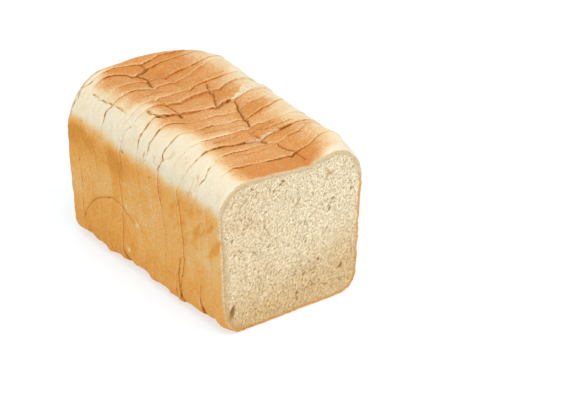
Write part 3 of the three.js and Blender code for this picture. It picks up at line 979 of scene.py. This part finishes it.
def face_relief(x, z, rim):
    """How far the open face is sunk at each place, and how much of that is a pore's."""
    across = x * math.cos(PORES_LEAN) - z * math.sin(PORES_LEAN)
    along = (x * math.sin(PORES_LEAN) + z * math.cos(PORES_LEAN)) * 0.45
    field = lumps(across, 0, along, 1.0, 41) + 0.5 * lumps(across, 7, along, 0.75, 42)
    softness = 0.15 + 0.85 * smooth(rim, 1.5, 4)
    pores = 0.24 * smooth(field, -0.1, 0.9) * softness
    pores = pores + 0.5 * smooth(lumps(across, 3, along, 1.5, 43), 0.7, 0.86) * softness
    for (middle_x, middle_z), (width, tall), lean, depth in FACE_PORES:
        right = (x - middle_x) * math.cos(lean) - (z - middle_z) * math.sin(lean)
        up = (x - middle_x) * math.sin(lean) + (z - middle_z) * math.cos(lean)
        pores = pores + depth * np.exp(-((right / width) ** 2 + (up / tall) ** 2) ** 1.5)
    pores = pores + FACE_CRACK_DEPTH * bell(distance_to(FACE_CRACK, x, z), FACE_CRACK_WIDTH)
    uneven = 0.45 * lumps(x, 0, z, 26, 44) + 0.3 * lumps(x, 0, z, 9, 45) + 0.12 * lumps(x, 0, z, 1.3, 46)
    return uneven * smooth(rim, 0, 5) + pores, pores


first = shape_slice("bread_slice_01", 0, open_near=True)
face, face_rim = fill_end(first)
places = coordinates(first) / MM
x, z = places[face, 0], places[face, 2]
rim, _ = nearest_on_rim(x, z, places[face_rim, 0], places[face_rim, 2])
sunk, pores = face_relief(x, z, rim)
places[face, 1] = FRONT + sunk
move_points(first, places)

# The face's marks: golden crust shows as a thin line at the base and the lower sides, the crumb gets a
# warm painted shade towards the base and the left, and it is closer in a band along the rim, where it
# is painted darker, partly as shade.
low_right = smooth(x, 40, 50) * smooth(90 - z, 0, 14)
low_left = 0.6 * smooth(-x, 42, 50) * smooth(86 - z, 0, 14)
crust_line = np.clip(low_right + low_left + smooth(7 - z, 0, 5), 0, 1)
crust_line = crust_line * (1 - smooth(rim + 0.7 * lumps(x, 0, z, 2.2, 47), 0.5, 1.7))
# Painted shade: the crumb darker and warmer towards the base and the left.
painted_low_shade = 0.9 * (1 - smooth(z - 0.3 * x, 4, 58)) + 0.3 * smooth(-x, -20, 45)
soft_band = 2.4 + 3.6 * smooth(-x, 20, 50) * smooth(z, 95, 60)
marks = read_marks(first)
marks["bake"][face] = 0
marks["gold"][face] = np.clip(np.maximum(0.8 * smooth(crust_line, 0, 0.3), painted_low_shade), 0, 1)
marks["dark"][face] = 0
marks["crumb"][face] = 1 - crust_line
# The pits, pores and the crack are painted with shade by their depth.
marks["pore"][face] = np.clip(pores / 0.7, 0, 1)
marks["dense_and_shaded"][face] = 0.9 * smooth((rim + 0.8 * lumps(x, 0, z, 4, 49)) / soft_band, 1.1, 0.1)
write_marks(first, marks)
finish_piece(first, "slice_01", sliced_bread)


# ---------------------------------------------------------------------------------------------------
# The heel: the loaf's end, baked against the tin. Its back is crust with round edges, bowed a little,
# and its top edge is browned.
HEEL_EDGE = 158
BACK_BULGE_REACH = 22

heel_crust = bread_material("heel_crust")
heel = shape_slice("bread_heel", len(CUTS), open_far=True)
back, back_rim = fill_end(heel)
places = coordinates(heel) / MM
x, z = places[back, 0], places[back, 2]
rim, nearest = nearest_on_rim(x, z, places[back_rim, 0], places[back_rim, 2])
reach = HEEL_EDGE - z
bowed = FRONT + LOAF_LENGTH - HEEL_BULGE - HEEL_BOW * (x / (TOP_WIDTH / 2)) ** 2
bowed = bowed + HEEL_BULGE * smooth(rim, 0, BACK_BULGE_REACH)
uneven = crust_relief(reach, 160 + x / 6, x, z) + 0.5 * lumps(x, 0, z, 12, 51)
places[back, 1] = bowed + uneven * smooth(rim, 0, 3)
move_points(heel, places)

# The back's own marks take over from those of its rim.
on_back = smooth(rim, 0, 9)
browned = 0.35 * smooth(z + 2 * lumps(x, 0, z, 7, 52), 96, 106)
golden = tinned_gold(reach, 100 + x, 0 * x)
marks = read_marks(heel)
for mark, own in (("bake", browned), ("gold", golden)):
    marks[mark][back] = on_back * own + (1 - on_back) * marks[mark][back_rim][nearest]
marks["dark"][back] = 0
marks["crumb"][back] = 0
write_marks(heel, marks)
finish_piece(heel, "heel", heel_crust)


# ---------------------------------------------------------------------------------------------------
# The set: a plain white floor that runs out of sight, one large soft lamp in front of the loaf and above
# it, and an even white surround. Sizes are in metres from here on.
FLOOR_SIZE = 30
FLOOR_DROP = 0.0002
LAMP_PLACE = (-0.1, -0.9, 1.9)
LAMP_SIZE = 1.6
LAMP_POWER = 24
LAMP_AIM = Vector((0, 0, 0.05))
CAMERA_AZIMUTH = math.radians(-36.4)
CAMERA_ELEVATION = math.radians(30.93)
CAMERA_DISTANCE = 4.782
CAMERA_TARGET = Vector((0.0587, -0.00145, 0.0155))
CAMERA_LENS = 460.7


def look_along(direction):
    return direction.to_track_quat("-Z", "Y").to_euler()


bpy.ops.object.select_all(action="DESELECT")
bpy.ops.mesh.primitive_plane_add(size=FLOOR_SIZE, location=(0, 0, -FLOOR_DROP))
floor = bpy.context.object
floor.name = "floor"
white = bpy.data.materials.new("white_floor")
white.use_nodes = True
shader = white.node_tree.nodes["Principled BSDF"]
shader.inputs["Base Color"].default_value = (0.37, 0.43, 0.47, 1)
shader.inputs["Roughness"].default_value = 0.9
shader.inputs["Specular IOR Level"].default_value = 0.1
shader.inputs["Emission Color"].default_value = (1, 1, 1, 1)
shader.inputs["Emission Strength"].default_value = 0.61
floor.data.materials.append(white)

world = bpy.data.worlds.new("white_surround")
world.use_nodes = True
surround = world.node_tree.nodes["Background"]
surround.inputs["Color"].default_value = (1, 1, 1, 1)
surround.inputs["Strength"].default_value = 0.85
bpy.context.scene.world = world

bpy.ops.object.light_add(type="AREA", location=LAMP_PLACE)
lamp = bpy.context.object
lamp.name = "key"
lamp.data.size = LAMP_SIZE
lamp.data.energy = LAMP_POWER
lamp.rotation_euler = look_along(LAMP_AIM - Vector(LAMP_PLACE))

# The camera looks down on the loaf's open end and left side through a long lens.
flat = math.cos(CAMERA_ELEVATION)
away = Vector((math.sin(CAMERA_AZIMUTH) * flat, -math.cos(CAMERA_AZIMUTH) * flat,
               math.sin(CAMERA_ELEVATION)))
bpy.ops.object.camera_add(location=CAMERA_TARGET + away * CAMERA_DISTANCE)
camera = bpy.context.object
camera.rotation_euler = look_along(-away)
camera.data.lens = CAMERA_LENS
camera.data.sensor_width = 36
camera.data.clip_end = 20
bpy.context.scene.camera = camera
bpy.context.scene.view_settings.view_transform = "Standard"
